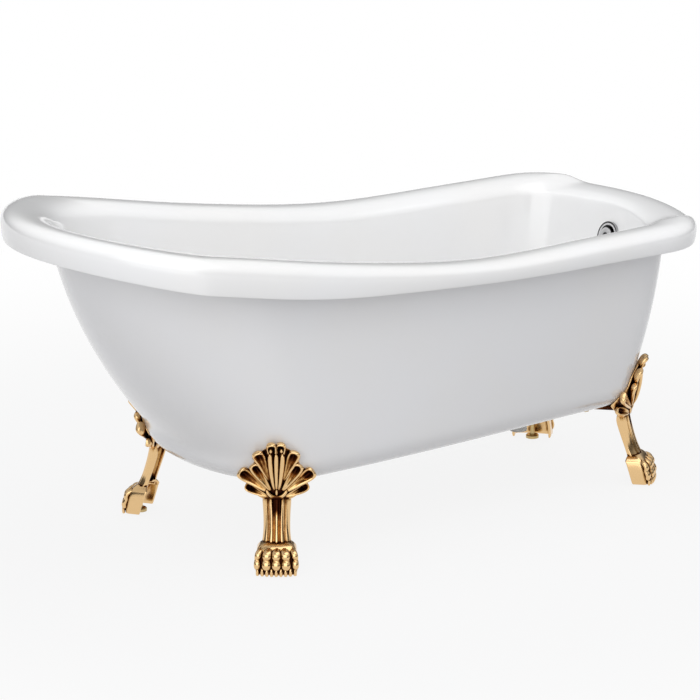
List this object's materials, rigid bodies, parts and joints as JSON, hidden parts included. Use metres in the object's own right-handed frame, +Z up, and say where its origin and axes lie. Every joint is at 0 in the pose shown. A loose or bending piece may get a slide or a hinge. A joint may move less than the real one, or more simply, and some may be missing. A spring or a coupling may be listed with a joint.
{
  "type": "freestanding slipper bathtub",
  "caption": "Freestanding slipper bath with a raised backrest end, a wide rolled rim, a bonded outer skirt, cast claw feet on levelling screws and a pop-up waste worked from a turning overflow.",
  "frame": {"origin": "on the floor, under the middle of the bath", "axes": "+X along the bath from the raised backrest end to the overflow end, +Y to the far side in the picture, +Z up"},
  "size_m": [1.6999, 0.7264, 0.7894],
  "materials": {
    "white_acrylic": "gloss",
    "board": "raw",
    "gold_casting": "polished",
    "zinc_steel": "zinc plated",
    "black_rubber": "matte",
    "chrome_trim": "polished",
    "plumbing_plastic": "satin",
    "hose_plastic": "satin"
  },
  "bodies": {
    "tub": {"basin_shell": "white_acrylic", "outer_skirt": "white_acrylic", "base_board": "board", "claw_foot_front_left": "gold_casting", "claw_foot_front_right": "gold_casting", "claw_foot_back_left": "gold_casting", "claw_foot_back_right": "gold_casting", "flange_washer": "black_rubber", "drain_flange": "chrome_trim", "waste_gasket": "black_rubber", "waste_body": "plumbing_plastic", "outlet_tail": "plumbing_plastic", "outlet_nut": "plumbing_plastic", "overflow_ring": "chrome_trim", "overflow_gasket": "black_rubber", "overflow_body": "plumbing_plastic", "overflow_hose": "hose_plastic", "hose_nuts": "plumbing_plastic", "control_cable": "hose_plastic", "foot_bolts": "zinc_steel", "foot_washers": "zinc_steel", "tee_nuts": "zinc_steel"},
    "knob": {"overflow_knob": "chrome_trim"},
    "plug": {"plug_cap": "chrome_trim", "plug_seal": "black_rubber", "plug_stem": "chrome_trim"},
    "screw_front_left": {"leveller_front_left": "zinc_steel"},
    "screw_front_right": {"leveller_front_right": "zinc_steel"},
    "screw_back_left": {"leveller_back_left": "zinc_steel"},
    "screw_back_right": {"leveller_back_right": "zinc_steel"}
  },
  "joints": [
    {"name": "knob_turn", "type": "hinge", "parent": "tub", "child": "knob", "pos_m": [0.7258, 0, 0.524], "axis": [-0.9636, 0, 0.2672], "range_deg": [0, 90]},
    {"name": "plug_lift", "type": "slide", "parent": "tub", "child": "plug", "axis": [0, 0, 1], "range_m": [0, 0.01]},
    {"name": "level_front_left", "type": "slide", "parent": "tub", "child": "screw_front_left", "axis": [0, 0, -1], "range_m": [0, 0.012]},
    {"name": "level_front_right", "type": "slide", "parent": "tub", "child": "screw_front_right", "axis": [0, 0, -1], "range_m": [0, 0.012]},
    {"name": "level_back_left", "type": "slide", "parent": "tub", "child": "screw_back_left", "axis": [0, 0, -1], "range_m": [0, 0.012]},
    {"name": "level_back_right", "type": "slide", "parent": "tub", "child": "screw_back_right", "axis": [0, 0, -1], "range_m": [0, 0.012]}
  ],
  "couplings": [
    {"joint": "knob_turn", "follows": "plug_lift", "rad_per_m": 155}
  ]
}
